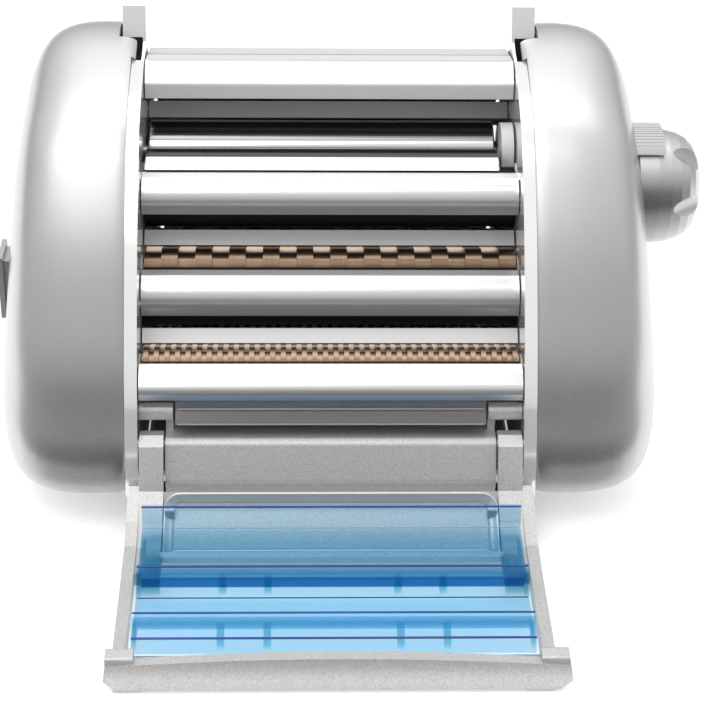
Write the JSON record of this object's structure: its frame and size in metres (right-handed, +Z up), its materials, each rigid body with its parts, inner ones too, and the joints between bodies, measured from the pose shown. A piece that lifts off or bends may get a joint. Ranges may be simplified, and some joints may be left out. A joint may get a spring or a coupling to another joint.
{
  "type": "electric pasta maker",
  "caption": "Electric pasta maker: smooth rollers, a wide and a fine cutter, a thickness knob on the right and a fold-down front tray with a clear blue guard.",
  "frame": {"origin": "on the table, in the middle of the footprint with the tray down", "axes": "+Z up, +X to the right as the user faces the rollers, the user stands on the -Y side"},
  "size_m": [0.2766, 0.2858, 0.1649],
  "materials": {
    "chrome": "polished",
    "steel_bright": "satin",
    "steel_zinc": "satin",
    "aluminium_satin": "satin",
    "silver_plastic": "satin",
    "black_plastic": "satin",
    "blue_clear": "gloss",
    "smoke_clear": "gloss",
    "white_plastic": "satin",
    "brass": "satin",
    "rubber": "matt"
  },
  "bodies": {
    "housing": {"base_frame": "silver_plastic", "carrier_rails": "white_plastic", "cord_gland": "black_plastic", "cutter_feed_guides": "aluminium_satin", "exit_flap": "smoke_clear", "exit_ramp": "white_plastic", "feed_guide": "aluminium_satin", "fine_cutter_combs": "white_plastic", "fine_cutter_cover": "chrome", "front_scraper": "white_plastic", "gear_pins_and_posts": "steel_zinc", "gear_plate": "steel_zinc", "index_pad": "silver_plastic", "left_housing": "silver_plastic", "left_side_plate": "chrome", "motor_can": "steel_zinc", "motor_screws": "steel_bright", "nip_end_guide": "white_plastic", "rear_cover": "chrome", "right_housing": "silver_plastic", "right_side_plate": "chrome", "roller_bushes": "white_plastic", "roller_front_cover": "chrome", "roller_shrouds": "black_plastic", "rubber_feet": "rubber", "spindle_bracket": "steel_zinc", "switch_bezel": "black_plastic", "tie_bar_screws": "steel_bright", "tie_bars": "steel_bright", "top_cover": "chrome", "tray_hinge_pins": "steel_bright", "wide_cutter_combs": "white_plastic", "wide_cutter_cover": "chrome"},
    "front_roller": {"front_roller": "aluminium_satin", "front_roller_gears": "white_plastic"},
    "carriage": {"roller_carriers": "white_plastic"},
    "rear_roller": {"rear_roller": "aluminium_satin", "rear_roller_gear": "white_plastic"},
    "wide_front": {"wide_cutter_front": "aluminium_satin", "wide_front_gears": "white_plastic"},
    "wide_rear": {"wide_cutter_rear": "aluminium_satin", "wide_rear_gear": "white_plastic"},
    "fine_front": {"fine_cutter_front": "aluminium_satin", "fine_front_gears": "white_plastic"},
    "fine_rear": {"fine_cutter_rear": "aluminium_satin", "fine_rear_gear": "white_plastic"},
    "upper_idler": {"upper_idler_gear": "white_plastic"},
    "lower_idler": {"lower_idler_gear": "white_plastic"},
    "reduction": {"reduction_gears": "white_plastic"},
    "motor_rotor": {"motor_shaft": "steel_bright", "motor_pinion": "brass"},
    "adjuster": {"adjuster_shaft": "steel_bright", "adjuster_gear": "white_plastic"},
    "spindle": {"knob_spindle": "steel_bright", "adjuster_pinion": "brass"},
    "knob": {"thickness_knob": "silver_plastic"},
    "switch": {"switch_rocker": "black_plastic"},
    "tray": {"tray_frame": "silver_plastic", "clear_guard": "blue_clear"}
  },
  "joints": [
    {"name": "roller_spin", "type": "hinge", "parent": "housing", "child": "front_roller", "pos_m": [-0.0066, 0.0353, 0.1091], "axis": [1, 0, 0], "continuous": true},
    {"name": "rear_roller_spin", "type": "hinge", "parent": "carriage", "child": "rear_roller", "pos_m": [-0.0066, 0.0626, 0.1091], "axis": [1, 0, 0], "continuous": true},
    {"name": "wide_front_spin", "type": "hinge", "parent": "housing", "child": "wide_front", "pos_m": [-0.0066, 0.0127, 0.0817], "axis": [1, 0, 0], "continuous": true},
    {"name": "wide_rear_spin", "type": "hinge", "parent": "housing", "child": "wide_rear", "pos_m": [-0.0066, 0.0297, 0.0817], "axis": [1, 0, 0], "continuous": true},
    {"name": "fine_front_spin", "type": "hinge", "parent": "housing", "child": "fine_front", "pos_m": [-0.0066, -0.0177, 0.0551], "axis": [1, 0, 0], "continuous": true},
    {"name": "fine_rear_spin", "type": "hinge", "parent": "housing", "child": "fine_rear", "pos_m": [-0.0066, -0.0007, 0.0551], "axis": [1, 0, 0], "continuous": true},
    {"name": "upper_idler_spin", "type": "hinge", "parent": "housing", "child": "upper_idler", "pos_m": [-0.0066, 0.01503, 0.10056], "axis": [1, 0, 0], "continuous": true},
    {"name": "lower_idler_spin", "type": "hinge", "parent": "housing", "child": "lower_idler", "pos_m": [-0.0066, 0.00324, 0.06184], "axis": [1, 0, 0], "continuous": true},
    {"name": "reduction_spin", "type": "hinge", "parent": "housing", "child": "reduction", "pos_m": [-0.0066, 0.0453, 0.09178], "axis": [1, 0, 0], "continuous": true},
    {"name": "motor_spin", "type": "hinge", "parent": "housing", "child": "motor_rotor", "pos_m": [-0.0066, 0.06651, 0.07057], "axis": [1, 0, 0], "continuous": true},
    {"name": "thickness_turn", "type": "hinge", "parent": "housing", "child": "spindle", "pos_m": [0.0934, 0.04565, 0.103], "axis": [1, 0, 0], "range_deg": [-120.5, 180.5]},
    {"name": "adjuster_turn", "type": "hinge", "parent": "housing", "child": "adjuster", "pos_m": [-0.0066, 0.0572, 0.0892], "axis": [1, 0, 0], "range_deg": [-91, 61]},
    {"name": "gap_slide", "type": "slide", "parent": "housing", "child": "carriage", "axis": [0, 1, 0], "range_m": [-0.0009, 0.00135]},
    {"name": "knob_pull", "type": "slide", "parent": "spindle", "child": "knob", "axis": [1, 0, 0], "range_m": [0, 0.004], "stiffness_N_per_m": 500},
    {"name": "switch_rock", "type": "hinge", "parent": "housing", "child": "switch", "pos_m": [-0.1294, 0.0207, 0.074], "axis": [0, 1, 0], "range_deg": [0, 14]},
    {"name": "tray_fold", "type": "hinge", "parent": "housing", "child": "tray", "pos_m": [-0.0066, -0.0383, 0.034], "axis": [-1, 0, 0], "range_deg": [0, 118]}
  ],
  "couplings": [
    {"joint": "rear_roller_spin", "follows": "roller_spin", "ratio": -1},
    {"joint": "wide_front_spin", "follows": "roller_spin", "ratio": 1.3},
    {"joint": "wide_rear_spin", "follows": "roller_spin", "ratio": -1.3},
    {"joint": "fine_front_spin", "follows": "roller_spin", "ratio": 1.3},
    {"joint": "fine_rear_spin", "follows": "roller_spin", "ratio": -1.3},
    {"joint": "upper_idler_spin", "follows": "roller_spin", "ratio": -1.4444},
    {"joint": "lower_idler_spin", "follows": "roller_spin", "ratio": -1.0833},
    {"joint": "reduction_spin", "follows": "roller_spin", "ratio": -1.8571},
    {"joint": "motor_spin", "follows": "roller_spin", "ratio": 9.2857},
    {"joint": "thickness_turn", "follows": "gap_slide", "rad_per_m": 2325},
    {"joint": "adjuster_turn", "follows": "gap_slide", "rad_per_m": -1162.5}
  ]
}
